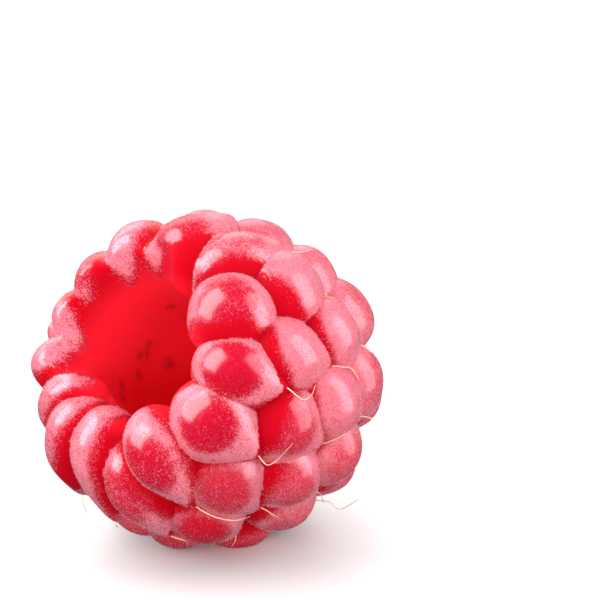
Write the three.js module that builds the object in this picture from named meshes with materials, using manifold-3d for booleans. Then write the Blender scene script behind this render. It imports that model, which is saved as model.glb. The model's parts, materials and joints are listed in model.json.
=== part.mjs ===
// A ripe raspberry, picked, so that it is hollow where the receptacle pulled out.
// It lies on its side on a table, with the open mouth facing -Y and raised, and the tip behind.
// Millimetres and degrees. +Z is up and the origin is on the table, under the middle of the fruit.

import * as THREE from 'three';
import { mergeVertices } from 'three/addons/utils/BufferGeometryUtils.js';
import Module from 'manifold-3d';

const wasm = await Module();
wasm.setup();

// Driving dimensions of the whole fruit.
const fruitRadius = 10.25;                // from the middle out to the crown of a drupelet, at the girth
const tipStretch = 0.08;                  // how much further out the drupelets stand at the tip
const mouthRise = 30;                     // how far the mouth axis is raised above level
const fruitCentre = [-0.23, -0.4, 9.7];   // middle of the fruit, over the origin

// The wall that carries the drupelets, and the hollow in it, as radius and height along the mouth axis.
const wallRadius = 8.2;
const lipAngle = 46;                      // angle off the mouth axis at which the wall ends in its lip
const lipInside = [[5.1, 4.9], [4.7, 3.2]];
const hollowProfile = [
  [1.5, -5.5],
  [2.8, -4.3],
  [3.8, -2.0],
  [4.6, 0.8],
  [4.8, 2.4],
  [4.7, 3.3],
  [3.6, 4.2],
];
const hollowBottom = -5.8;
const hollowTop = 4.7;
const wallSides = 40;
const wallSteps = 16;

// A drupelet is a round swelling, longer or wider than it is deep, with a low nose that carries its style.
const halfDepth = 2.6;
const noseReach = 0.13;                   // how far the nose rises, as a share of the half size
const noseLean = 58;                      // from straight out of the fruit over toward its tip
const noseSharpness = 7;
const facetDetail = 2;

// The mouth is ringed by long drupelets that lean over its lip.
// Each has its angle off the mouth axis, bearing clockwise round it, depth sunk below the crown line,
// half length along the fruit, half width round it, and turn.
const rimLean = 5;
const rimDrupelets = [
  [48, 2, 1.95, 3.25, 2.25, -6],
  [57, 26, 2.25, 2.95, 2.4, -10],
  [45, 54, 2.25, 2.55, 2.6, 0],
  [48, 87, 2.25, 2.6, 2.4, 0],
  [49, 114, 2.15, 2.65, 2.5, 0],
  [48, 148, 2.15, 3, 2.1, 8],
  [60, 170, 2.25, 3.15, 2.05, 8],
  [54, 190, 2.3, 3.55, 2, 6],
  [56, 211, 2, 3.55, 2, 6],
  [52, 231, 2.4, 3.25, 1.75, 3],
  [49, 252, 2.2, 3.15, 1.95, 0],
  [55, 269, 2.7, 2.6, 1.6, 0],
  [48, 280, 2.55, 3, 1.95, 0],
  [47, 303, 2.4, 3, 2.05, 0],
  [52, -33, 2.2, 3.1, 2.05, 0],
];

// The drupelets beside and under the mouth are rounder, with the same values. They crowd together unevenly.
const bodyLean = 10;
const sideDrupelets = [
  [78, 11, 2.7, 2.4, 2.5, 0],
  [70, 42, 2.25, 2.7, 2.8, 0],
  [66, 73, 2.4, 2.6, 2.4, 0],
  [74, 100, 2.4, 2.45, 2.5, 0],
  [69, 132, 2.4, 2.6, 2.5, 0],
  [82, 152, 2.5, 2.4, 2.4, 0],
  [80, 184, 2.7, 2.4, 2.4, 0],
  [97, 25, 2.8, 2.4, 2.6, 0],
  [87, 60, 2.4, 2.4, 2.4, 0],
  [91, 86, 2.4, 2.4, 2.4, 0],
  [88, 118, 2.4, 2.4, 2.4, 0],
  [98, 178, 2.7, 2.4, 2.4, 0],
  [110, 42, 2.5, 2.4, 2.6, 0],
  [113, 72, 2.6, 2.4, 2.6, 0],
  [106, 102, 2.5, 2.4, 2.5, 0],
  [108, 132, 2.8, 2.4, 2.5, 0],
  [118, 163, 2.7, 2.4, 2.5, 0],
  [118, 196, 2.7, 2.4, 2.5, 0],
  [130, 112, 2.9, 2.4, 2.4, 0],
  [132, 146, 3, 2.4, 2.4, 0],
  [140, 181, 2.7, 2.4, 2.5, 0],
];

// The rest of the fruit is covered in rings, by a rule: an even step in bearing, then a small seeded shift.
const ringDrupelets = [
  { angle: 74, from: 210, to: 344, count: 6 },
  { angle: 95, from: 207, to: 358, count: 7 },
  { angle: 117, from: 222, to: 374, count: 7 },
  { angle: 138, from: 221, to: 428, count: 6 },
  { angle: 158, from: 5, to: 293, count: 5 },
  { angle: 178, from: 0, to: 0, count: 1 },
];
const ringSunk = 2.65;
const ringHalfSize = 2.4;
const angleShift = 1.5;
const bearingShift = 2;
const sizeShift = 0.1;
const firstSeed = 4177;

const degree = Math.PI / 180;

// A whole-number generator that gives the same draws in every run.
let seed = firstSeed;
function draw(reach) {
  seed = (seed * 16807) % 2147483647;
  return reach * (2 * seed / 2147483647 - 1);
}

function solidFrom(geometry) {
  geometry.deleteAttribute('normal');
  geometry.deleteAttribute('uv');
  const merged = mergeVertices(geometry, 1e-5);
  const index = merged.index.array;
  const corners = [];
  for (let i = 0; i < index.length; i += 3) {
    const [a, b, c] = index.slice(i, i + 3);
    if (a !== b && b !== c && c !== a) corners.push(a, b, c);
  }
  const mesh = new wasm.Mesh({
    numProp: 3,
    vertProperties: new Float32Array(merged.attributes.position.array),
    triVerts: new Uint32Array(corners),
  });
  return new wasm.Manifold(mesh);
}

function geometryFrom(solid) {
  const mesh = solid.getMesh();
  const geometry = new THREE.BufferGeometry();
  geometry.setAttribute('position', new THREE.BufferAttribute(mesh.vertProperties, 3));
  geometry.setIndex(new THREE.BufferAttribute(mesh.triVerts, 1));
  geometry.computeVertexNormals();
  return geometry;
}

// From the fruit's own frame, with the mouth axis along +Z, to where the fruit lies on the table.
function layDown(geometry) {
  geometry.rotateX((90 - mouthRise) * degree);
  geometry.translate(...fruitCentre);
  return geometry;
}

// A solid turned about the mouth axis, from a list of radius and height that starts and ends on it.
function turned(profile) {
  const points = profile.map(([radius, height]) => new THREE.Vector2(radius, height));
  const shape = new THREE.LatheGeometry(points, wallSides);
  shape.rotateX(90 * degree);
  return solidFrom(layDown(shape));
}

// The wall is round outside, and a flat floor closes it just inside the lip until the hollow is cut.
function makeWall() {
  const profile = [[0, -wallRadius]];
  for (let i = 1; i <= wallSteps; i += 1) {
    const angle = (180 - (180 - lipAngle) * i / wallSteps) * degree;
    profile.push([wallRadius * Math.sin(angle), wallRadius * Math.cos(angle)]);
  }
  const [, [, floorHeight]] = lipInside;
  return turned([...profile, ...lipInside, [0, floorHeight]]);
}

function makeHollow() {
  return turned([[0, hollowBottom], ...hollowProfile, [0, hollowTop]]);
}

function crownRadius(angle) {
  const towardTip = (1 - Math.cos(angle)) / 2;
  return fruitRadius * (1 + tipStretch * towardTip ** 2);
}

// One drupelet. In its own frame X points out of the fruit, Y toward the tip and Z round the fruit.
function makeDrupelet([angleOff, bearing, sunk, halfLength, halfWidth, turn], lean) {
  const ball = new THREE.IcosahedronGeometry(1, facetDetail);
  const nose = new THREE.Vector3(Math.cos(noseLean * degree), Math.sin(noseLean * degree), 0);
  const point = new THREE.Vector3();
  const place = ball.attributes.position;
  for (let i = 0; i < place.count; i += 1) {
    point.fromBufferAttribute(place, i);
    const rise = noseReach * Math.max(point.dot(nose), 0) ** noseSharpness;
    point.addScaledVector(nose, rise);
    place.setXYZ(i, point.x * halfDepth, point.y * halfLength, point.z * halfWidth);
  }
  ball.rotateX(turn * degree);
  ball.rotateZ(lean * degree);
  const angle = angleOff * degree;
  const side = new THREE.Vector3(Math.sin(bearing * degree), Math.cos(bearing * degree), 0);
  const mouth = new THREE.Vector3(0, 0, 1);
  const out = mouth.clone().multiplyScalar(Math.cos(angle)).addScaledVector(side, Math.sin(angle));
  const along = mouth.clone().multiplyScalar(-Math.sin(angle)).addScaledVector(side, Math.cos(angle));
  const round = out.clone().cross(along);
  const stand = new THREE.Matrix4().makeBasis(out, along, round);
  stand.setPosition(out.clone().multiplyScalar(crownRadius(angle) - sunk));
  ball.applyMatrix4(stand);
  return solidFrom(layDown(ball));
}

function makeRing({ angle, from, to, count }) {
  const ring = [];
  for (let i = 0; i < count; i += 1) {
    const bearing = count > 1 ? from + (to - from) * i / (count - 1) : from;
    const values = [
      angle + draw(angleShift),
      bearing + draw(bearingShift),
      ringSunk,
      ringHalfSize + draw(sizeShift),
      ringHalfSize + draw(sizeShift),
      0,
    ];
    ring.push(makeDrupelet(values, bodyLean));
  }
  return ring;
}

// The fruit settles a little where it lies, so the drupelets under it are pressed flat on the table.
function pressFlat(solid) {
  const reach = 4 * fruitRadius;
  const table = new THREE.BoxGeometry(reach, reach, reach);
  table.translate(0, 0, -reach / 2);
  return solid.subtract(solidFrom(table));
}

// Only the outer skin is kept, so a pocket closed in between drupelets becomes flesh.
function outerBody(solid) {
  const bodies = solid.decompose();
  return bodies.reduce((best, body) => (body.volume() > best.volume() ? body : best));
}

function makeRaspberry() {
  const drupelets = [
    ...rimDrupelets.map((values) => makeDrupelet(values, rimLean)),
    ...sideDrupelets.map((values) => makeDrupelet(values, bodyLean)),
    ...ringDrupelets.flatMap(makeRing),
  ];
  const fused = drupelets.reduce((fruit, drupelet) => fruit.add(drupelet), makeWall());
  const fruit = outerBody(pressFlat(fused.subtract(makeHollow())));
  const flesh = new THREE.MeshStandardMaterial({ color: 0xc41230, roughness: 0.55, metalness: 0 });
  const raspberry = new THREE.Mesh(geometryFrom(fruit), flesh);
  raspberry.name = 'raspberry';
  return raspberry;
}

const object = new THREE.Group();
object.add(makeRaspberry());

export default object;
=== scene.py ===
import json
import math

import bmesh
import bpy
import numpy as np
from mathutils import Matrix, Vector

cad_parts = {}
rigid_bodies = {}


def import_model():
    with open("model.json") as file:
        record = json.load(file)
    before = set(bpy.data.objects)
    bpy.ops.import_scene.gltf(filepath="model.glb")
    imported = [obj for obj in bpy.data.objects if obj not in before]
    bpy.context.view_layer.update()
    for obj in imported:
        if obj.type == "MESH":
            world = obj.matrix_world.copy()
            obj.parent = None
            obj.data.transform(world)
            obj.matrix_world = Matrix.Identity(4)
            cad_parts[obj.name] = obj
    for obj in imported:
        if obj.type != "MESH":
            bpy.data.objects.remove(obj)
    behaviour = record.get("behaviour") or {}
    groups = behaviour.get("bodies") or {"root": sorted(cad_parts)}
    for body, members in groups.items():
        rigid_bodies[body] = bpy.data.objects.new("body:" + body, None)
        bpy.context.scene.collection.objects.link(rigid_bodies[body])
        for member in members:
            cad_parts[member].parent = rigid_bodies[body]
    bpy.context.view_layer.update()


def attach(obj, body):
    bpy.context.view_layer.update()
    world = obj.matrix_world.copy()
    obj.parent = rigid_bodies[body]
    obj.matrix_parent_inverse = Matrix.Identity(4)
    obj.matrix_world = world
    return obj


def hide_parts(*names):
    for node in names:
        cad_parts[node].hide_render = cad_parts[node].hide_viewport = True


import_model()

mm = 0.001
scene = bpy.context.scene


# camera, from the front right and a little above, with the fruit low and left in the frame

view = {
    "azimuth": 39.5,
    "elevation": 18.0,
    "distance": 162.0,          # millimetres from the middle of the fruit
    "pixelsPerMm": 16.59,
    "frameWidth": 600,
    "fruitPixel": (209, 380),   # where the middle of the fruit falls in the frame
    "sensor": 36.0,
    "clipNear": 5.0,
    "clipFar": 20000.0,
}

fruitCentre = np.array([-0.23, -0.4, 9.7])      # millimetres in the part's frame


def viewAxes():
    turn = math.radians(view["azimuth"])
    tilt = math.radians(view["elevation"])
    right = np.array([math.cos(turn), math.sin(turn), 0.0])
    back = np.array([math.sin(turn) * math.cos(tilt), -math.cos(turn) * math.cos(tilt), math.sin(tilt)])
    return right, np.cross(back, right), back


def makeCamera():
    right, up, back = viewAxes()
    half = view["frameWidth"] / 2
    across = (half - view["fruitPixel"][0]) / view["pixelsPerMm"]
    down = (half - view["fruitPixel"][1]) / view["pixelsPerMm"]
    place = fruitCentre + back * view["distance"] + right * across - up * down
    data = bpy.data.cameras.new("camera")
    data.sensor_width = view["sensor"]
    data.lens = view["pixelsPerMm"] * view["distance"] * view["sensor"] / view["frameWidth"]
    data.clip_start = view["clipNear"] * mm
    data.clip_end = view["clipFar"] * mm
    camera = bpy.data.objects.new("camera", data)
    camera.location = Vector(place * mm)
    camera.rotation_euler = Vector(back).to_track_quat("Z", "Y").to_euler()
    scene.collection.objects.link(camera)
    scene.camera = camera


makeCamera()
print("camera placed")


# the fruit, in its own frame: mouth axis along +Z, then laid on the table

fruit = {
    "radius": 10.25,
    "tipStretch": 0.08,
    "mouthRise": 30,
    "wallRadius": 8.2,
    "lipAngle": 46,
    "lipInside": [(4.6, 5.9), (3.6, 5.2)],
    # radius, height, and how much wider the hollow flares where the rim melts into it
    "hollowProfile": [
        (1.5, -5.5, 0), (2.8, -4.3, 0), (3.7, -2.0, 0), (4.2, 0.8, 0), (4.25, 2.4, 0),
        (4.05, 4.0, 0.3), (3.6, 5.6, 1.2), (2.6, 7.0, 2.7), (2.0, 9.6, 5.0),
    ],
    "hollowBottom": -5.8,
    "hollowTop": 10.0,
    "hollowSteps": 7,
    "hollowSides": 120,
    "wallSteps": 32,
    "wallSides": 96,
    "meltBearing": 305,         # middle of the stretch of rim that melts into the hollow
    "meltReach": (55, 80),      # degrees either side of it where melting is whole, and where it ends
    "halfDepth": 2.6,
    "noseReach": 0.25,
    "noseLean": 62,
    "noseSharpness": 9,
    "blunt": (2, 16),           # drupelets with hardly any nose
    "bluntShare": 0.25,
    "rimLean": 5,
    "bodyLean": 10,
    # angle off the mouth axis, bearing round it, depth sunk, half length, half width, turn
    "rim": [
        (48, 2, 1.95, 3.25, 2.25, -6),
        (57, 26, 2.25, 2.95, 2.4, -10),
        (45, 54, 2.25, 2.55, 2.6, 0),
        (48, 87, 2.25, 2.6, 2.4, 0),
        (49, 114, 2.15, 2.65, 2.5, 0),
        (48, 148, 2.15, 3.0, 2.1, 8),
        (60, 170, 2.25, 3.15, 2.05, 8),
        (54, 190, 2.3, 3.55, 2.0, 6),
        (56, 211, 2.0, 3.55, 2.0, 6),
        (52, 231, 2.4, 3.25, 1.75, 3),
        (49, 252, 2.2, 3.15, 1.95, 0),
        (55, 269, 2.7, 2.6, 1.6, 0),
        (48, 280, 2.55, 3.0, 1.95, 0),
        (47, 303, 2.4, 3.0, 2.05, 0),
        (52, -33, 2.2, 3.1, 2.05, 0),
    ],
    "side": [
        (78, 11, 2.7, 2.4, 2.5, 0),
        (70, 42, 2.25, 2.7, 2.8, 0),
        (66, 73, 2.4, 2.6, 2.4, 0),
        (74, 100, 2.4, 2.45, 2.5, 0),
        (69, 132, 2.4, 2.6, 2.5, 0),
        (82, 152, 2.5, 2.4, 2.4, 0),
        (80, 184, 2.7, 2.4, 2.4, 0),
        (97, 25, 2.8, 2.4, 2.6, 0),
        (87, 60, 2.4, 2.4, 2.4, 0),
        (91, 86, 2.4, 2.4, 2.4, 0),
        (88, 118, 2.4, 2.4, 2.4, 0),
        (98, 178, 2.7, 2.4, 2.4, 0),
        (110, 42, 2.5, 2.4, 2.6, 0),
        (113, 72, 2.6, 2.4, 2.6, 0),
        (106, 102, 2.5, 2.4, 2.5, 0),
        (108, 132, 2.8, 2.4, 2.5, 0),
        (118, 163, 2.7, 2.4, 2.5, 0),
        (118, 196, 2.7, 2.4, 2.5, 0),
        (130, 112, 2.9, 2.4, 2.4, 0),
        (132, 146, 3.0, 2.4, 2.4, 0),
        (140, 181, 2.7, 2.4, 2.5, 0),
    ],
    # angle off the mouth axis, first bearing, last bearing, how many
    "rings": [
        (74, 210, 344, 6),
        (95, 207, 358, 7),
        (117, 222, 374, 7),
        (138, 221, 428, 6),
        (158, 5, 293, 5),
        (178, 0, 0, 1),
    ],
    "ringSunk": 2.65,
    "ringHalfSize": 2.4,
    "angleShift": 1.5,
    "bearingShift": 2,
    "sizeShift": 0.1,
    "firstSeed": 4177,
    "fineness": 5,              # subdivisions of each drupelet
    "lumpHeight": 0.022,        # share of the half size
    "lumpWaves": (2.5, 5.5),    # slowest and fastest
    "creaseAngle": 33,          # a fold sharper than this stays crisp
    "softAside": (5.2, 6.8),    # distance off the mouth axis where the rim stops melting
    "softMoreBearing": 350,     # near this bearing the melting reaches further out
    "softMoreReach": 0.8,
    "softMoreSpread": (0.85, 0.98),
    "softHeight": (0.5, 3.0),
    "softPull": 0.6,
    "softRounds": 80,
}

layTilt = math.radians(90 - fruit["mouthRise"])
layDown = np.array([
    [1, 0, 0],
    [0, math.cos(layTilt), -math.sin(layTilt)],
    [0, math.sin(layTilt), math.cos(layTilt)],
])
mouthAxis = layDown @ np.array([0.0, 0.0, 1.0])

# the rings' small shifts are drawn as in the part's own source, so the drupelets fall in the same places
drawFactor = 16807
drawModulus = 2147483647
drawSeed = fruit["firstSeed"]


def draw(reach):
    global drawSeed
    drawSeed = drawSeed * drawFactor % drawModulus
    return reach * (2 * drawSeed / drawModulus - 1)


def fade(value, low, high):
    t = np.clip((value - low) / (high - low), 0, 1)
    return t * t * (3 - 2 * t)


def turnAbout(axis, degrees):
    c = math.cos(math.radians(degrees))
    s = math.sin(math.radians(degrees))
    if axis == "x":
        return np.array([[1, 0, 0], [0, c, -s], [0, s, c]])
    return np.array([[c, -s, 0], [s, c, 0], [0, 0, 1]])


def placeDrupelet(values, lean):
    # one row of the fruit's lists, as a place, a set of axes and three half sizes
    angleOff, bearing, sunk, halfLength, halfWidth, turn = values
    angle = math.radians(angleOff)
    around = math.radians(bearing)
    side = np.array([math.sin(around), math.cos(around), 0.0])
    mouth = np.array([0.0, 0.0, 1.0])
    out = mouth * math.cos(angle) + side * math.sin(angle)
    along = side * math.cos(angle) - mouth * math.sin(angle)
    basis = np.array([out, along, np.cross(out, along)]).T
    towardTip = (1 - math.cos(angle)) / 2
    crown = fruit["radius"] * (1 + fruit["tipStretch"] * towardTip ** 2)
    return {
        "centre": layDown @ (out * (crown - sunk)) + fruitCentre,
        "axes": layDown @ basis @ turnAbout("z", lean) @ turnAbout("x", turn),
        "half": np.array([fruit["halfDepth"], halfLength, halfWidth]),
    }


def allDrupelets():
    placed = [placeDrupelet(values, fruit["rimLean"]) for values in fruit["rim"]]
    placed += [placeDrupelet(values, fruit["bodyLean"]) for values in fruit["side"]]
    for angle, first, last, count in fruit["rings"]:
        for i in range(count):
            angleOff = angle + draw(fruit["angleShift"])
            bearing = first + (last - first) * i / max(count - 1, 1) + draw(fruit["bearingShift"])
            halfSizes = [fruit["ringHalfSize"] + draw(fruit["sizeShift"]) for _ in range(2)]
            values = [angleOff, bearing, fruit["ringSunk"], *halfSizes, 0]
            placed.append(placeDrupelet(values, fruit["bodyLean"]))
    for k, drupelet in enumerate(placed):
        drupelet["nose"] = fruit["noseReach"] * (fruit["bluntShare"] if k in fruit["blunt"] else 1)
    return placed


def unitBall(subdivisions):
    ball = bmesh.new()
    bmesh.ops.create_icosphere(ball, subdivisions=subdivisions, radius=1.0)
    points = np.array([v.co[:] for v in ball.verts])
    corners = np.array([[v.index for v in f.verts] for f in ball.faces])
    ball.free()
    return points / np.linalg.norm(points, axis=1, keepdims=True), corners


def triangleObject(name, points, corners):
    mesh = bpy.data.meshes.new(name)
    mesh.vertices.add(len(points))
    mesh.vertices.foreach_set("co", np.asarray(points, np.float32).ravel())
    mesh.loops.add(3 * len(corners))
    mesh.loops.foreach_set("vertex_index", np.asarray(corners, np.int32).ravel())
    mesh.polygons.add(len(corners))
    mesh.polygons.foreach_set("loop_start", np.arange(0, 3 * len(corners), 3, dtype=np.int32))
    mesh.update(calc_edges=True)
    return bpy.data.objects.new(name, mesh)


def swells(points, dice, slow, fast, waves=5, furthestStart=6.3):
    # a few slow waves over a unit ball, different on every drupelet
    height = np.zeros(len(points))
    for _ in range(waves):
        heading = dice.normal(size=3)
        heading /= np.linalg.norm(heading)
        height += np.cos(points @ heading * dice.uniform(slow, fast) + dice.uniform(0, furthestStart))
    return height / 2


def noseHeading():
    # in a drupelet's own frame
    lean = math.radians(fruit["noseLean"])
    return np.array([math.cos(lean), math.sin(lean), 0.0])


def noseRise(ball, drupelet):
    # how far the skin rises toward the nose
    return drupelet["nose"] * np.maximum(ball @ noseHeading(), 0) ** fruit["noseSharpness"]


def shapeDrupelet(ball, drupelet, dice):
    swell = 1 + swells(ball, dice, *fruit["lumpWaves"]) * fruit["lumpHeight"]
    points = ball * swell[:, None] + noseRise(ball, drupelet)[:, None] * noseHeading()
    return (points * drupelet["half"]) @ drupelet["axes"].T + drupelet["centre"]


def melt(bearing):
    # 1 along the stretch of rim that melts into the hollow, 0 elsewhere
    off = np.cos(bearing - math.radians(fruit["meltBearing"]))
    full, none = (math.cos(math.radians(reach)) for reach in fruit["meltReach"])
    return fade(off, none, full)


def turnedSolid(name, profile, sides):
    # each point of the profile is a radius, a height and a flare; the first and last lie on the mouth axis
    rings = profile[1:-1]
    around = np.arange(sides) * 2 * math.pi / sides
    points = [np.array([[0, 0, profile[0][1]]])]
    for radius, height, flare in rings:
        reach = radius + flare * melt(around)
        points.append(np.stack([reach * np.sin(around), reach * np.cos(around), np.full(sides, height)], 1))
    points.append(np.array([[0, 0, profile[-1][1]]]))
    points = np.concatenate(points)
    last = len(points) - 1
    faces = []
    for i in range(sides):
        j = (i + 1) % sides
        faces.append((0, 1 + i, 1 + j))
        for k in range(len(rings) - 1):
            low = 1 + k * sides
            high = low + sides
            faces.append((low + i, high + i, high + j))
            faces.append((low + i, high + j, low + j))
        top = 1 + (len(rings) - 1) * sides
        faces.append((top + i, last, top + j))
    return triangleObject(name, points @ layDown.T + fruitCentre, np.array(faces))


def smoothLine(points, steps):
    # a rounded line through a few points
    knots = np.array(points, float)
    padded = np.concatenate([knots[:1], knots, knots[-1:]])
    line = []
    for i in range(len(knots) - 1):
        a, b, c, d = padded[i:i + 4]
        for t in np.arange(steps) / steps:
            line.append(0.5 * (2 * b + (c - a) * t + (2 * a - 5 * b + 4 * c - d) * t ** 2
                               + (3 * b - a - 3 * c + d) * t ** 3))
    line.append(knots[-1])
    return [tuple(p) for p in line]


def makeWall():
    # a ball cut off at the lip, with a step down inside it
    radius, steps = fruit["wallRadius"], fruit["wallSteps"]
    profile = [(0, -radius)]
    for i in range(1, steps + 1):
        angle = math.radians(180 - (180 - fruit["lipAngle"]) * i / steps)
        profile.append((radius * math.sin(angle), radius * math.cos(angle), 0))
    profile += [(inside, height, 0) for inside, height in fruit["lipInside"]]
    profile.append((0, fruit["lipInside"][-1][1]))
    return turnedSolid("wall", profile, fruit["wallSides"])


def makeHollow():
    line = [(0, fruit["hollowBottom"], 0), *fruit["hollowProfile"], (0, fruit["hollowTop"], 0)]
    return turnedSolid("hollow", smoothLine(line, fruit["hollowSteps"]), fruit["hollowSides"])


def applied(target, operation, tool=None, tools=None):
    # one Boolean, applied
    scene.collection.objects.link(target)
    change = target.modifiers.new("join", "BOOLEAN")
    change.operation = operation
    change.solver = "MANIFOLD"
    if tools is None:
        scene.collection.objects.link(tool)
        change.object = tool
    else:
        change.operand_type = "COLLECTION"
        change.collection = tools
    bpy.context.view_layer.update()
    mesh = bpy.data.meshes.new_from_object(target.evaluated_get(bpy.context.evaluated_depsgraph_get()))
    for used in [target] + ([tool] if tool else list(tools.objects)):
        bpy.data.objects.remove(used)
    return bpy.data.objects.new("joined", mesh)


def meshArrays(mesh):
    mesh.calc_loop_triangles()
    points = np.empty(len(mesh.vertices) * 3)
    mesh.vertices.foreach_get("co", points)
    corners = np.empty(len(mesh.loop_triangles) * 3, np.int32)
    mesh.loop_triangles.foreach_get("vertices", corners)
    return points.reshape(-1, 3), corners.reshape(-1, 3)


def outerSkin(points, corners):
    # keeps the largest closed skin, so pockets sealed in between drupelets become flesh
    label = np.arange(len(points))
    edges = np.concatenate([corners[:, [0, 1]], corners[:, [1, 2]]])
    while True:
        low = np.minimum(label[edges[:, 0]], label[edges[:, 1]])
        fresh = label.copy()
        np.minimum.at(fresh, edges[:, 0], low)
        np.minimum.at(fresh, edges[:, 1], low)
        fresh = fresh[fresh]
        if np.array_equal(fresh, label):
            break
        label = fresh
    owner = label[corners[:, 0]]
    names, counts = np.unique(owner, return_counts=True)
    kept = corners[owner == names[np.argmax(counts)]]
    used, packed = np.unique(kept, return_inverse=True)
    print("skins", len(names), "kept", len(kept), "of", len(corners), "triangles")
    return points[used], packed.reshape(-1, 3)


def pointNormals(points, corners):
    a, b, c = (points[corners[:, i]] for i in range(3))
    facing = np.cross(b - a, c - a)
    normals = np.zeros_like(points)
    for i in range(3):
        np.add.at(normals, corners[:, i], facing)
    return normals / np.maximum(np.linalg.norm(normals, axis=1, keepdims=True), 1e-12)


def localPlace(points, drupelet):
    # position in a drupelet's own frame, where its surface lies about one unit from its middle
    return (points - drupelet["centre"]) @ drupelet["axes"] / drupelet["half"]


def mouthPlace(points):
    # height along the mouth axis, distance off it and bearing round it
    middle = points - fruitCentre
    height = middle @ mouthAxis
    aside = np.linalg.norm(middle - height[:, None] * mouthAxis, axis=1)
    across = (middle @ layDown)[:, :2]
    return height, aside, np.arctan2(across[:, 0], across[:, 1])


def meltZone(points):
    # how much each point belongs to the part of the rim that melts into the hollow's wall
    height, aside, bearing = mouthPlace(points)
    near = np.cos(bearing - math.radians(fruit["softMoreBearing"]))
    aside -= fruit["softMoreReach"] * fade(near, *fruit["softMoreSpread"])
    inner = (1 - fade(aside, *fruit["softAside"])) * melt(bearing)
    return inner * fade(height, *fruit["softHeight"])


def evenOut(values, corners, zone, rounds):
    # draws each point's values toward those of its neighbours, as strongly as the zone says
    sides = np.concatenate([corners[:, [0, 1]], corners[:, [1, 2]], corners[:, [2, 0]]])
    count = np.bincount(sides[:, 0], minlength=len(values))[:, None]
    pull = zone[:, None] * fruit["softPull"]
    moving = np.flatnonzero(zone > 0)
    for _ in range(rounds):
        columns = [np.bincount(sides[:, 0], column[sides[:, 1]], len(values)) for column in values.T]
        total = np.stack(columns, 1)
        values[moving] += pull[moving] * (total[moving] / count[moving] - values[moving])
    return values


def buildFruit():
    dice = np.random.default_rng(fruit["firstSeed"])
    drupelets = allDrupelets()
    ball, corners = unitBall(fruit["fineness"])
    crowd = bpy.data.collections.new("crowd")
    scene.collection.children.link(crowd)
    for k, drupelet in enumerate(drupelets):
        crowd.objects.link(triangleObject(f"drupelet{k}", shapeDrupelet(ball, drupelet, dice), corners))
    joined = applied(makeWall(), "UNION", tools=crowd)
    bpy.data.collections.remove(crowd)
    opened = applied(joined, "DIFFERENCE", tool=makeHollow())
    points, corners = outerSkin(*meshArrays(opened.data))
    bpy.data.objects.remove(opened)
    points = evenOut(points, corners, meltZone(points), fruit["softRounds"])
    points[:, 2] = np.maximum(points[:, 2], 0)
    return drupelets, points, corners


drupelets, fruitPoints, fruitCorners = buildFruit()
print("fruit joined,", len(fruitCorners), "triangles")


# flesh: bare and red in the folds and the hollow, pale grains of down over crimson elsewhere

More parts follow.
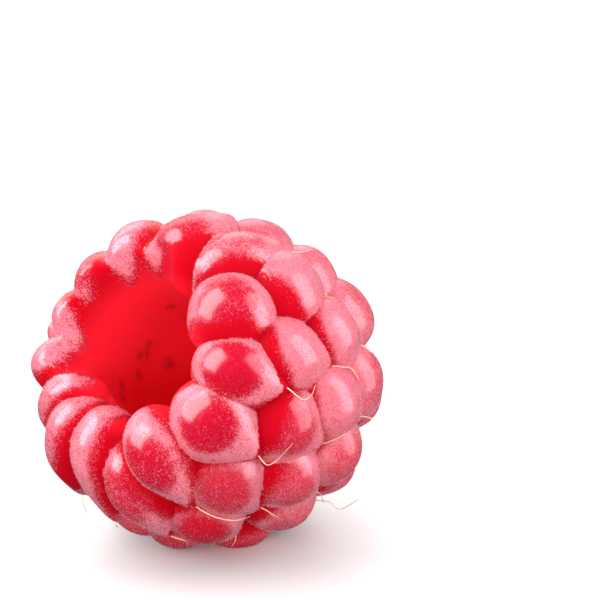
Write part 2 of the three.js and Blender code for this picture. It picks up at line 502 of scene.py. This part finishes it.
flesh = {
    # which way the downy patch faces on a drupelet (out, toward the tip and round the fruit),
    # how far it reaches, and how much of its thickness is left on the crown
    "rimPatch": [
        (0.3, 0.5, 0.8, 117, 0.3), (0.1, 0.2, 0.9, 127, 0.6), (0.2, 0.2, 0.9, 120, 0.25),
        (0.8, -0.2, 0.5, 94, 0.0), (1.0, -0.1, -0.2, 97, 0.12), (0.8, -0.5, -0.5, 95, 0.22),
        (0.4, 0.2, -0.9, 114, 0.4), (0.1, -0.2, -0.9, 117, 0.95), (0.3, -0.3, -0.9, 100, 0.7),
        (0.4, -0.3, -0.9, 100, 0.8), (0.6, -0.3, -0.7, 78, 1.0), (0.8, -0.4, 0.2, 85, 0.85),
        (0.6, 0.3, 0.7, 95, 0.85), (0.3, 0.4, 0.8, 109, 0.5), (0.3, 0.0, 0.9, 119, 0.85),
    ],
    "sidePatch": [
        (0.9, 0.0, 0.0, 105, 0.6), (0.6, 0.6, 0.6, 110, 1.0), (0.9, 0.4, 0.3, 80, 0.9),
        (0.7, 0.7, 0.0, 95, 0.33), (0.9, 0.4, -0.2, 95, 0.3), (0.9, 0.3, -0.1, 92, 0.1),
        (0.9, 0.2, 0.0, 90, 0.5), (0.9, 0.1, 0.0, 105, 0.7), (0.9, 0.3, 0.1, 85, 1.0),
        (0.9, 0.2, 0.3, 90, 0.8), (0.9, 0.4, 0.2, 88, 0.45), (0.9, 0.2, 0.0, 90, 0.6),
        (0.9, 0.1, 0.0, 105, 0.6), (0.9, 0.1, 0.0, 105, 0.55), (0.9, 0.2, 0.0, 98, 0.5),
    ],
    "otherPatch": (0.9, 0.3, 0.0, 90, 0.6),
    "border": (0.20, 0.50),         # how softly a patch ends, outside and inside its reach
    "wander": 0.06,                 # how far its border strays
    "wanderWaves": (4, 9),
    "patchSeed": 52,
    "patchRounds": 8,               # of smoothing, where the rim melts into the hollow
    "crown": (0.94, -0.34, 0.0),    # the way to the crown, where the down is painted thinnest, and how wide it spreads
    "crownSpread": (0.58, 0.92),
    # shares of the way out to a drupelet's own skin between which down starts, and those where it stops
    "buried": (0.5, 0.7),
    "strayed": (1.06, 1.18),
    "lowShade": (-2.0, 4.0),         # heights over the table between which the down thickens: painted shade, the fruit painted darker near the table
    "meltClear": (3.9, 5.3),        # distances off the mouth axis, where the rim melts and elsewhere,
    "hollowClear": (3.3, 3.7),      # between which the down starts
    # colours and shine
    "bare": (0.55, 0.002, 0.013),
    # the hollow's red is painted brighter than the bare flesh deep inside, a painted glow standing in for
    # light shining through the thin flesh
    "hollow": (0.83, 0.015, 0.038),
    "smudge": (0.16, 0.004, 0.008),
    "crimson": (0.56, 0.001, 0.028),
    "pale": (0.87, 0.30, 0.38),
    "bareSkin": {"subsurface": 1.0, "subsurfaceScale": 3.0, "roughness": 0.6, "specular": 0.05, "ior": 1.4},
    "downySkin": {"subsurface": 0.9, "subsurfaceScale": 1.6, "roughness": 0.2, "specular": 0.6, "ior": 1.5},
    "bleed": (1.0, 0.12, 0.08),     # how far red, green and blue light spread under the skin
    "sheen": 0.08,
    "sheenRoughness": 0.3,
    "sheenTint": (1.0, 0.50, 0.62),
    "shineTint": (1.0, 0.84, 0.92),
    "deepFrom": (0.0, 0.5),         # distances from a fold, in half sizes, where crimson starts and is whole
    "hollowLean": (0.3, 5),         # how fast the hollow's brighter red, a painted glow, draws in above this height
    "hollowSpread": (4.6, 6.2),
    # grains to a metre, and their clumps
    "grain": 13000.0,
    "grainDetail": 1.0,
    "dots": 6500.0,
    "clumps": 2500.0,
    "clumpShare": 0.35,
    "grainDepth": 0.004,            # millimetres
    "grainBump": 0.45,
    "grainStart": (0.83, 0.36),     # where the grains start on thin and on thick down
    "grainSoft": 0.4,
    # least and most that the pale covers, round the mouth and then on the sides, where grains show less
    "least": (0.08, 0.3),
    "most": (0.92, 0.8),
    "leastThick": (0.1, 0.9),
    # each row: from, to, and what they become
    "patchEdge": (0.3, 1.0, 0.15, 1.0),     # amount of down, and its thickness there
    "patchEnd": (0.0, 0.8, 1.15, 0.1),      # amount of down, and how high a grain has to stand to show
    "speckThick": (0.0, 0.3, 0.05, 0.38),   # thickness, and how pale its loose grains are
    "smudgeClumps": (0.3, 0.6, 0.35, 0.65), # clumps, and how dark a smudge is on them
    "patchEndSoft": 0.1,
    "dotHeight": (-0.7, 0.82),      # a loose grain's slope, and its height in the middle
    "specks": (0.74, 0.84),         # heights where it starts to look pale, and is whole
    "smudgeRadius": 4.2,            # of the hollow's wall, for a smudge's width
    "smudgeInside": 4.8,
    # dark smudges on the hollow's wall: height, bearing, size
    "smudges": [
        (2.8, 325, 0.5), (1.6, 283, 0.5), (1.9, 272, 0.5), (1.3, 275, 0.4), (-0.7, 275, 0.7),
        (1.6, 257, 0.5), (3.2, 242, 0.5), (3.3, 231, 0.5), (0.5, 20, 0.6), (2.0, 62, 0.5),
        (-1.5, 104, 0.6), (1.0, 143, 0.5), (-2.5, 190, 0.6), (2.5, 171, 0.5), (0.0, 214, 0.6),
        (-3.0, 300, 0.6),
    ],
}


def downPatch(k):
    # which way drupelet k's patch faces, the cosine where it ends and what is left on its crown
    patches = flesh["rimPatch"] + flesh["sidePatch"]
    *heading, reach, frost = patches[k] if k < len(patches) else flesh["otherPatch"]
    return np.array(heading) / np.linalg.norm(heading), math.cos(math.radians(reach)), frost


def readDown(points, owner):
    # how much down each point carries, and how thick it is there; the thickness is painted up toward each
    # drupelet's edges as a painted sheen, and down near the table as painted shade
    amount = np.zeros(len(points))
    thickWithSheenAndShade = np.zeros(len(points))
    dice = np.random.default_rng(flesh["patchSeed"])
    outside, inside = flesh["border"]
    for k, drupelet in enumerate(drupelets):
        own = owner == k
        spot = localPlace(points[own], drupelet)
        far = np.linalg.norm(spot, axis=1)
        spot /= far[:, None]
        far /= 1 + noseRise(spot, drupelet)
        heading, edge, frost = downPatch(k)
        wander = swells(spot, dice, *flesh["wanderWaves"]) * flesh["wander"]
        amount[own] = fade(spot @ heading + wander, edge - outside, edge + inside)
        amount[own] *= fade(far, *flesh["buried"]) * (1 - fade(far, *flesh["strayed"]))
        # the down thins toward the crown, so the paler edges round it are a painted sheen as well as real
        # down
        crown = fade(spot @ flesh["crown"], *flesh["crownSpread"])
        # near the table the down is painted thinner: painted shade, the fruit darker there
        thickWithSheenAndShade[own] = (1 - (1 - frost) * crown) * fade(points[own, 2], *flesh["lowShade"])
    return amount, thickWithSheenAndShade


def readSmudges(height, aside, bearing):
    # how dark each point of the hollow's wall is smudged
    dark = np.zeros(len(height))
    for level, angle, size in flesh["smudges"]:
        off = np.abs(np.angle(np.exp(1j * (bearing - math.radians(angle)))))
        distance = np.hypot(height - level, flesh["smudgeRadius"] * off)
        distance[aside > flesh["smudgeInside"]] = size
        dark = np.maximum(dark, 1 - fade(distance, 0, size))
    return dark


def readSkin(points, corners):
    # what the finish needs at each point: whose skin it is, its down and its part in the hollow
    reach = np.stack([np.linalg.norm(localPlace(points, drupelet), axis=1) for drupelet in drupelets])
    owner, second = np.argsort(reach, axis=0)[:2]
    columns = np.arange(len(points))
    height, aside, bearing = mouthPlace(points)
    aside[height < fruit["hollowBottom"] - 1] = fruit["radius"]     # the tip isn't in the hollow
    amount, thickWithSheenAndShade = readDown(points, owner)
    rimClear = 1 - melt(bearing) * (1 - fade(aside, *flesh["meltClear"]))
    amount *= rimClear * fade(aside, *flesh["hollowClear"])
    leaning, over = flesh["hollowLean"]
    inner = aside + leaning * np.maximum(height - over, 0)
    return {
        "gap": reach[second, columns] - reach[owner, columns],
        "down": evenOut(amount[:, None], corners, meltZone(points), flesh["patchRounds"])[:, 0],
        "thickWithSheenAndShade": thickWithSheenAndShade,
        "velvet": (owner >= len(flesh["rimPatch"])).astype(float),      # away from the mouth
        "smudge": readSmudges(height, aside, bearing),
        # how deep a point lies in the hollow, where the red is painted brighter as a painted glow
        "hollow": 1 - fade(inner, *flesh["hollowSpread"]),
        "normals": pointNormals(points, corners),
    }


skin = readSkin(fruitPoints, fruitCorners)
print("skin read")


def paint(mesh, name, values):
    layer = mesh.attributes.new(name, "FLOAT", "POINT")
    layer.data.foreach_set("value", values.astype(np.float32))


def paintFruit(mesh):
    paint(mesh, "deep", fade(skin["gap"], *flesh["deepFrom"]))
    for name in ("down", "thickWithSheenAndShade", "velvet", "hollow", "smudge"):
        paint(mesh, name, skin[name])


def newMaterial(name):
    material = bpy.data.materials.new(name)
    material.use_nodes = True
    nodes = material.node_tree.nodes
    return material, nodes, material.node_tree.links, nodes["Principled BSDF"]


def add(nodes, kind, **settings):
    node = nodes.new(kind)
    for name, value in settings.items():
        setattr(node, name, value)
    return node


def blend(nodes, links, first, second, factor):
    # mixes two colours, each a plain value or an output
    mix = add(nodes, "ShaderNodeMix", data_type="RGBA")
    links.new(factor, mix.inputs["Factor"])
    for socket, colour in (("A", first), ("B", second)):
        if isinstance(colour, tuple):
            mix.inputs[socket].default_value = (*colour, 1)
        else:
            links.new(colour, mix.inputs[socket])
    return mix.outputs["Result"]


def attribute(nodes, name):
    return add(nodes, "ShaderNodeAttribute", attribute_name=name).outputs["Fac"]


def texture(nodes, links, kind, scale):
    # a texture that stays put on the fruit
    node = add(nodes, kind)
    node.inputs["Scale"].default_value = scale
    links.new(add(nodes, "ShaderNodeTexCoord").outputs["Object"], node.inputs["Vector"])
    return node


def noise(nodes, links, scale, detail=2.0):
    node = texture(nodes, links, "ShaderNodeTexNoise", scale)
    node.inputs["Detail"].default_value = detail
    return node.outputs["Fac"]


def maths(nodes, links, operation, *values):
    node = add(nodes, "ShaderNodeMath", operation=operation)
    for i, value in enumerate(values):
        if isinstance(value, (int, float)):
            node.inputs[i].default_value = value
        else:
            links.new(value, node.inputs[i])
    return node.outputs[0]


def ramp(nodes, links, value, low, high, outLow=0.0, outHigh=1.0):
    # turns low to high into outLow to outHigh, each a number or an output
    node = add(nodes, "ShaderNodeMapRange", interpolation_type="SMOOTHSTEP")
    links.new(value, node.inputs["Value"])
    for name, number in (("From Min", low), ("From Max", high), ("To Min", outLow), ("To Max", outHigh)):
        if isinstance(number, (int, float)):
            node.inputs[name].default_value = number
        else:
            links.new(number, node.inputs[name])
    return node.outputs["Result"]


def softFlesh(shader, values):
    shader.inputs["Subsurface Weight"].default_value = values["subsurface"]
    shader.inputs["Subsurface Radius"].default_value = flesh["bleed"]
    shader.inputs["Subsurface Scale"].default_value = values["subsurfaceScale"] * mm
    shader.inputs["Roughness"].default_value = values["roughness"]
    shader.inputs["Specular IOR Level"].default_value = values["specular"]
    shader.inputs["IOR"].default_value = values["ior"]


def bareFlesh(nodes, links, clumps):
    # pressed flanks, folds and the hollow
    shader = add(nodes, "ShaderNodeBsdfPrincipled")
    # deep in the hollow the bare red turns to the hollow's brighter red, a painted glow of light through the
    # flesh
    colour = blend(nodes, links, flesh["bare"], flesh["hollow"], attribute(nodes, "hollow"))
    patchy = ramp(nodes, links, clumps, *flesh["smudgeClumps"])
    patchy = maths(nodes, links, "MULTIPLY", attribute(nodes, "smudge"), patchy)
    links.new(blend(nodes, links, colour, flesh["smudge"], patchy), shader.inputs["Base Color"])
    softFlesh(shader, flesh["bareSkin"])
    return shader


def looseGrains(nodes, links, clumps):
    # round grains that stand apart, closer together in the clumps
    dots = texture(nodes, links, "ShaderNodeTexVoronoi", flesh["dots"])
    loose = maths(nodes, links, "MULTIPLY_ADD", dots.outputs["Distance"], *flesh["dotHeight"])
    return maths(nodes, links, "MULTIPLY_ADD", clumps, flesh["clumpShare"], loose)


def paleness(nodes, links, grain, clumps, loose):
    # how much of the pale down shows over the crimson, thicker away from the crown, a painted sheen toward
    # each drupelet's edges, and thinner near the table, a painted shade
    cover = ramp(nodes, links, attribute(nodes, "down"), *flesh["patchEdge"])
    thickWithSheenAndShade = maths(nodes, links, "MULTIPLY", attribute(nodes, "thickWithSheenAndShade"), cover)
    velvet = attribute(nodes, "velvet")
    least = ramp(nodes, links, velvet, 0.0, 1.0, *flesh["least"])
    least = ramp(nodes, links, thickWithSheenAndShade, *flesh["leastThick"], 0.0, least)
    most = ramp(nodes, links, velvet, 0.0, 1.0, *flesh["most"])
    fine = maths(nodes, links, "MULTIPLY_ADD", clumps, flesh["clumpShare"], grain)
    start = ramp(nodes, links, thickWithSheenAndShade, 0.0, 1.0, *flesh["grainStart"])
    whole = maths(nodes, links, "ADD", start, flesh["grainSoft"])
    body = ramp(nodes, links, fine, start, whole, least, most)
    brightest = ramp(nodes, links, thickWithSheenAndShade, *flesh["speckThick"])
    specks = ramp(nodes, links, loose, *flesh["specks"], 0.0, brightest)
    return maths(nodes, links, "MAXIMUM", body, specks)


def finishDowny(shader, nodes, links, grain, pale):
    colour = blend(nodes, links, flesh["bare"], flesh["crimson"], attribute(nodes, "deep"))
    links.new(blend(nodes, links, colour, flesh["pale"], pale), shader.inputs["Base Color"])
    softFlesh(shader, flesh["downySkin"])
    shader.inputs["Specular Tint"].default_value = (*flesh["shineTint"], 1)
    shader.inputs["Sheen Weight"].default_value = flesh["sheen"]
    shader.inputs["Sheen Roughness"].default_value = flesh["sheenRoughness"]
    shader.inputs["Sheen Tint"].default_value = (*flesh["sheenTint"], 1)
    bump = add(nodes, "ShaderNodeBump")
    bump.inputs["Strength"].default_value = flesh["grainBump"]
    bump.inputs["Distance"].default_value = flesh["grainDepth"] * mm
    links.new(grain, bump.inputs["Height"])
    links.new(bump.outputs["Normal"], shader.inputs["Normal"])


def fleshMaterial():
    material, nodes, links, downy = newMaterial("raspberryFlesh")
    grain = noise(nodes, links, flesh["grain"], flesh["grainDetail"])
    clumps = noise(nodes, links, flesh["clumps"])
    loose = looseGrains(nodes, links, clumps)
    bare = bareFlesh(nodes, links, clumps)
    finishDowny(downy, nodes, links, grain, paleness(nodes, links, grain, clumps, loose))
    # the edge of the down breaks up into grains
    edge = ramp(nodes, links, attribute(nodes, "down"), *flesh["patchEnd"])
    inside = maths(nodes, links, "ADD", edge, flesh["patchEndSoft"])
    mix = add(nodes, "ShaderNodeMixShader")
    links.new(ramp(nodes, links, loose, edge, inside), mix.inputs["Fac"])
    links.new(bare.outputs["BSDF"], mix.inputs[1])
    links.new(downy.outputs["BSDF"], mix.inputs[2])
    links.new(mix.outputs["Shader"], nodes["Material Output"].inputs["Surface"])
    return material


def makeFruit():
    piece = triangleObject("berry", fruitPoints * mm, fruitCorners)
    paintFruit(piece.data)
    piece.data.shade_smooth()
    piece.data.set_sharp_from_angle(angle=math.radians(fruit["creaseAngle"]))
    piece.data.materials.append(fleshMaterial())
    scene.collection.objects.link(piece)
    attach(piece, "root")
    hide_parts("raspberry")


makeFruit()
print("fruit finished")


# down: short fine hairs, each a slim closed spike

down = {
    "perSquareMm": 105,
    "sparse": 0.08,             # share of the hairs left where the down is thinnest
    "bareRim": 0.95,            # share of them missing where the rim melts into the hollow
    "hairsFrom": (0.1, 0.6),    # amounts of down where hairs start, and where they are all there
    "foldClear": (0.0, 0.05),   # distances from a fold, in half sizes
    "tableClear": 0.25,
    "rooted": 0.03,             # millimetres under the skin
    "length": (0.06, 0.15),
    "width": (0.018, 0.025),
    "lean": (0, 40),            # degrees off the skin's own direction
    "seed": 52,
    "pieces": 3,
    "rose": (0.93, 0.20, 0.28),
    "blush": (0.98, 0.50, 0.58),
    "toneScale": 4000.0,        # patches to a metre
    "roughness": 0.5,
    "specular": 0.15,
}


def scatterOnSkin(dice, chance, count):
    # random places on the skin, by area and chance
    a, b, c = (fruitPoints[fruitCorners[:, i]] for i in range(3))
    area = np.linalg.norm(np.cross(b - a, c - a), axis=1) / 2
    share = np.cumsum(area * chance[fruitCorners].mean(axis=1))
    amount = int(count * share[-1])
    picked = np.searchsorted(share, dice.uniform(0, share[-1], amount))
    weights = dice.dirichlet((1, 1, 1), amount)
    corners = fruitCorners[picked]
    roots = (fruitPoints[corners] * weights[:, :, None]).sum(1)
    normals = (skin["normals"][corners] * weights[:, :, None]).sum(1)
    return roots, normals / np.linalg.norm(normals, axis=1, keepdims=True)


def downMaterial():
    material, nodes, links, shader = newMaterial("down")
    tone = noise(nodes, links, down["toneScale"])
    links.new(blend(nodes, links, down["rose"], down["blush"], tone), shader.inputs["Base Color"])
    shader.inputs["Roughness"].default_value = down["roughness"]
    shader.inputs["Specular IOR Level"].default_value = down["specular"]
    return material


def hairChance():
    # how likely a hair is at each point of the skin
    chance = fade(skin["down"], *down["hairsFrom"]) * fade(skin["gap"], *down["foldClear"])
    chance *= fruitPoints[:, 2] > down["tableClear"]
    chance *= down["sparse"] + (1 - down["sparse"]) * skin["thickWithSheenAndShade"]
    chance *= (1 - down["bareRim"] * meltZone(fruitPoints)) * (1 - skin["hollow"])
    return chance


def downSpikes():
    # four corners for each hair: three round its root and one at its tip
    dice = np.random.default_rng(down["seed"])
    roots, normals = scatterOnSkin(dice, hairChance(), down["perSquareMm"])
    amount = len(roots)
    aside = np.cross(normals, dice.normal(size=(amount, 3)))
    aside /= np.linalg.norm(aside, axis=1, keepdims=True)
    across = np.cross(normals, aside)
    lean = np.radians(dice.uniform(*down["lean"], amount))[:, None]
    heading = normals * np.cos(lean) + aside * np.sin(lean)
    other = np.cross(heading, across)
    length = dice.uniform(*down["length"], amount)[:, None]
    width = dice.uniform(*down["width"], amount)[:, None] / 2
    base = roots - normals * down["rooted"]
    spikes = np.empty((amount, 4, 3))
    for i in range(3):
        turn = 2 * math.pi * i / 3
        spikes[:, i] = base + width * (across * math.cos(turn) + other * math.sin(turn))
    spikes[:, 3] = base + heading * length
    return spikes


def growDown():
    spikes = downSpikes()
    sides = np.array([(0, 1, 3), (1, 2, 3), (2, 0, 3), (0, 2, 1)])
    material = downMaterial()
    for i in range(down["pieces"]):
        part = spikes[i::down["pieces"]].reshape(-1, 3)
        corners = (np.arange(len(part) // 4)[:, None, None] * 4 + sides).reshape(-1, 3)
        piece = triangleObject(f"down{i}", part * mm, corners)
        piece.data.shade_smooth()
        piece.data.materials.append(material)
        scene.collection.objects.link(piece)
        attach(piece, "root")
    print("down grown,", len(spikes), "hairs")


growDown()


# styles: a thin curved hair from the nose of many drupelets

style = {
    "seed": 31,
    "share": 0.6,
    "root": 0.055,              # radius at the nose
    "tip": 0.014,
    "rooted": 0.12,             # share of the way to the drupelet's middle
    "sides": 6,
    "steps": 6,
    "length": (1.2, 3.2),
    "sway": 0.6,
    "bend": 0.5,
    # how far a free hair's two halves go toward the tip, and out
    "firstHalf": (0.8, 0.45),
    "secondHalf": (0.8, 0.2),
    "without": (2,),
    "lowest": 1.0,              # no hair grows from a nose nearer the table
    "clear": 1.07,              # how far out of a drupelet, in its own units, a hair keeps
    "tableClear": 0.15,
    "darkFrom": (0.6, 0.9),     # shares of the hair's length
    "cream": (0.95, 0.60, 0.42),
    "ivory": (1.0, 0.78, 0.60),
    "brown": (0.07, 0.015, 0.010),
    "toneScale": 1500.0,        # patches to a metre
    "roughness": 0.4,
    # the drupelet, how dark the tip is, and points right, up and toward the camera from its nose
    "placed": [
        (3, 0.0, [(0.8, -0.6, 0.2), (1.3, -0.4, 0.3), (1.55, 0.2, 0.3)]),
        (4, 0.3, [(0.5, -0.5, 0.3), (1.1, -0.2, 0.3), (2.0, 0.75, 0.4)]),
        (5, 0.0, [(1.0, -0.5, 0.3), (2.1, -0.7, 0.2), (3.0, -0.5, 0.0)]),
        (6, 0.8, [(0.6, -0.2, 0.3), (1.0, -0.35, 0.3), (1.15, -0.75, 0.2)]),
        (7, 1.0, [(0.1, -0.3, 0.1), (-0.1, -0.4, 0.1), (-0.25, -0.25, 0.1)]),
        (8, 0.9, [(0.0, -0.5, 0.0), (0.25, -1.2, 0.1)]),
        (16, 1.0, [(0.4, -0.5, 0.3), (0.65, -1.2, 0.4), (0.7, -1.9, 0.3)]),
        (17, 0.0, [(0.5, -0.1, 0.3), (1.1, -0.2, 0.3), (1.55, -0.85, 0.2)]),
        (18, 0.0, [(0.5, 0.2, 0.2), (1.2, 0.6, 0.2)]),
        (19, 1.0, [(0.8, -0.5, 0.2), (1.5, -0.9, 0.2)]),
        (23, 0.2, [(0.9, -0.4, 0.0), (1.4, 0.2, 0.0), (1.65, 1.0, 0.0)]),
        (24, 0.4, [(0.9, -0.2, 0.1), (1.5, -0.7, 0.1), (2.2, -1.2, 0.0)]),
        (25, 0.9, [(0.4, -0.3, 0.2), (0.6, -0.8, 0.2)]),
        (27, 0.2, [(0.9, 0.0, 0.0), (1.4, 0.4, 0.0), (1.7, 1.1, 0.0)]),
        (28, 0.7, [(0.8, -0.1, 0.0), (1.3, -0.3, 0.0), (1.7, 0.1, 0.0)]),
        (30, 0.9, [(1.4, 0.0, 0.2), (2.2, -0.5, 0.1), (3.3, 0.1, 0.0)]),
    ],
}


def noseOf(drupelet):
    # the tip of a drupelet's nose
    reach = noseHeading() * (1 + drupelet["nose"]) * drupelet["half"]
    return drupelet["centre"] + drupelet["axes"] @ reach


def keptOutside(place):
    # a point of a hair, pushed clear of the drupelets and of the table
    for drupelet in drupelets:
        reach = np.linalg.norm(localPlace(place, drupelet))
        if reach < style["clear"]:
            place = drupelet["centre"] + (place - drupelet["centre"]) * style["clear"] / reach
    return np.array([place[0], place[1], max(place[2], style["tableClear"])])


def freeHair(drupelet, dice):
    # a gently bent hair that leans toward the fruit's tip
    out, along, sideways = drupelet["axes"].T
    half = dice.uniform(*style["length"]) / 2
    aside = dice.uniform(-style["sway"], style["sway"])
    bend = dice.uniform(-style["bend"], style["bend"])
    tipward, outward = style["firstHalf"]
    first = along * tipward + out * outward + sideways * aside
    tipward, outward = style["secondHalf"]
    second = along * tipward + out * outward + sideways * (aside + bend)
    return [first * half, (first + second) * half]


def tube(line, radii, sides):
    # a closed, tapering tube along a line of points
    along = np.gradient(line, axis=0)
    along /= np.linalg.norm(along, axis=1, keepdims=True)
    side = np.cross(along[0], (0.3, 0.5, 0.8))      # any way that no hair starts in
    turn = np.arange(sides) * 2 * math.pi / sides
    rings = [line[:1]]
    for place, heading, radius in zip(line, along, radii):
        side = side - heading * (side @ heading)
        side /= np.linalg.norm(side)
        ring = np.outer(np.cos(turn), side) + np.outer(np.sin(turn), np.cross(heading, side))
        rings.append(place + radius * ring)
    rings.append(line[-1:])
    faces = []
    for i in range(sides):
        j = (i + 1) % sides
        faces.append((0, 1 + j, 1 + i))
        for k in range(len(line) - 1):
            low = 1 + k * sides
            faces.append((low + i, low + j, low + sides + j))
            faces.append((low + i, low + sides + j, low + sides + i))
        top = 1 + (len(line) - 1) * sides
        faces.append((top + i, top + j, top + sides))
    return np.concatenate(rings), np.array(faces)


def styleMaterial():
    material, nodes, links, shader = newMaterial("styleHair")
    tone = blend(nodes, links, style["cream"], style["ivory"], noise(nodes, links, style["toneScale"]))
    tone = blend(nodes, links, tone, style["brown"], attribute(nodes, "dark"))
    links.new(tone, shader.inputs["Base Color"])
    shader.inputs["Roughness"].default_value = style["roughness"]
    return material


def chooseHairs():
    # each hair's drupelet, how dark its tip is and its points, set out from the nose
    dice = np.random.default_rng(style["seed"])
    right, up, back = viewAxes()
    hairs = []
    for k, dark, offsets in style["placed"]:
        hairs.append((k, dark, [right * x + up * y + back * z for x, y, z in offsets]))
    placed = [k for k, dark, offsets in hairs]
    for k, drupelet in enumerate(drupelets):
        lucky = dice.uniform() < style["share"]
        offsets = freeHair(drupelet, dice)
        dark = dice.uniform(0, 1) ** 2
        free = k not in placed and k not in style["without"]
        if free and lucky and noseOf(drupelet)[2] > style["lowest"]:
            hairs.append((k, dark, offsets))
    return hairs


def growStyles():
    points, corners, shade = [], [], []
    for k, dark, offsets in chooseHairs():
        root = noseOf(drupelets[k])
        inner = root + (drupelets[k]["centre"] - root) * style["rooted"]
        line = [inner, root] + [root + offset for offset in offsets]
        line = np.array(smoothLine(line, style["steps"]))
        line[style["steps"]:] = [keptOutside(place) for place in line[style["steps"]:]]
        share = np.linspace(0, 1, len(line))
        radii = style["root"] + (style["tip"] - style["root"]) * share
        spots, faces = tube(line, radii, style["sides"])
        corners.append(faces + sum(len(part) for part in points))
        points.append(spots)
        rows = np.concatenate([[0], np.repeat(share, style["sides"]), [1]])
        shade.append(dark * fade(rows, *style["darkFrom"]))
    piece = triangleObject("styles", np.concatenate(points) * mm, np.concatenate(corners))
    paint(piece.data, "dark", np.concatenate(shade))
    piece.data.shade_smooth()
    piece.data.materials.append(styleMaterial())
    scene.collection.objects.link(piece)
    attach(piece, "root")
    print("styles grown,", len(points), "hairs")


growStyles()


# plain pale floor and soft studio light

studio = {
    "floorSize": 4000.0,
    "floorTint": (0.88, 0.88, 0.88),
    "floorRoughness": 0.9,
    "worldStrength": 0.12,
    "lights": [
        # name, heading in the view as right, up and back, distance, width, height, brightness, shine
        ("keyLight", (-0.85, 0.42, 0.30), 300.0, 240.0, 380.0, 2.9, 0.0),
        ("keyShine", (-0.74, 0.55, 0.38), 300.0, 240.0, 350.0, 0.0, 9.0),
        ("backLight", (-0.35, 0.65, -0.67), 300.0, 380.0, 220.0, 1.5, 24.0),
        ("sideLight", (0.88, 0.36, 0.16), 300.0, 260.0, 420.0, 2.6, 0.0),
        ("sideShine", (0.88, 0.30, 0.18), 300.0, 220.0, 400.0, 0.0, 4.4),
        ("topLight", (0.0, 0.95, 0.05), 450.0, 600.0, 500.0, 1.4, 1.0),
        ("frontFill", (-0.3, 0.2, 0.93), 450.0, 400.0, 400.0, 1.5, 0.0),
        ("lowFill", (0.1, -0.2, 1.0), 450.0, 900.0, 110.0, 7.4, 0.0),
    ],
}


def makeFloor():
    half = studio["floorSize"] / 2 * mm
    mesh = bpy.data.meshes.new("floor")
    corners = [(-half, -half, 0), (half, -half, 0), (half, half, 0), (-half, half, 0)]
    mesh.from_pydata(corners, [], [(0, 1, 2, 3)])
    floor = bpy.data.objects.new("floor", mesh)
    material, nodes, links, shader = newMaterial("floorPaper")
    shader.inputs["Base Color"].default_value = (*studio["floorTint"], 1)
    shader.inputs["Roughness"].default_value = studio["floorRoughness"]
    mesh.materials.append(material)
    scene.collection.objects.link(floor)
    floor.visible_glossy = False
    floor.visible_diffuse = False


def makeLights():
    right, up, back = viewAxes()
    for name, heading, distance, width, height, brightness, shine in studio["lights"]:
        toward = right * heading[0] + up * heading[1] + back * heading[2]
        toward /= np.linalg.norm(toward)
        # each softbox is two lamps in one place, so that its glow and its gleam are set apart
        for part, strength in (("", brightness), ("Gleam", shine)):
            if not strength:
                continue
            data = bpy.data.lights.new(name + part, "AREA")
            data.shape = "RECTANGLE"
            data.size = width * mm
            data.size_y = height * mm
            data.energy = strength * math.pi * width * height * mm * mm
            light = bpy.data.objects.new(name + part, data)
            light.location = Vector((fruitCentre + toward * distance) * mm)
            light.rotation_euler = Vector(toward).to_track_quat("Z", "Y").to_euler()
            light.visible_camera = False
            light.visible_glossy = part == "Gleam"
            light.visible_diffuse = part != "Gleam"
            scene.collection.objects.link(light)
    world = bpy.data.worlds.new("studio")
    world.use_nodes = True
    world.node_tree.nodes["Background"].inputs["Color"].default_value = (1, 1, 1, 1)
    world.node_tree.nodes["Background"].inputs["Strength"].default_value = studio["worldStrength"]
    scene.world = world


makeFloor()
makeLights()
scene.view_settings.view_transform = "Standard"
print("studio set")
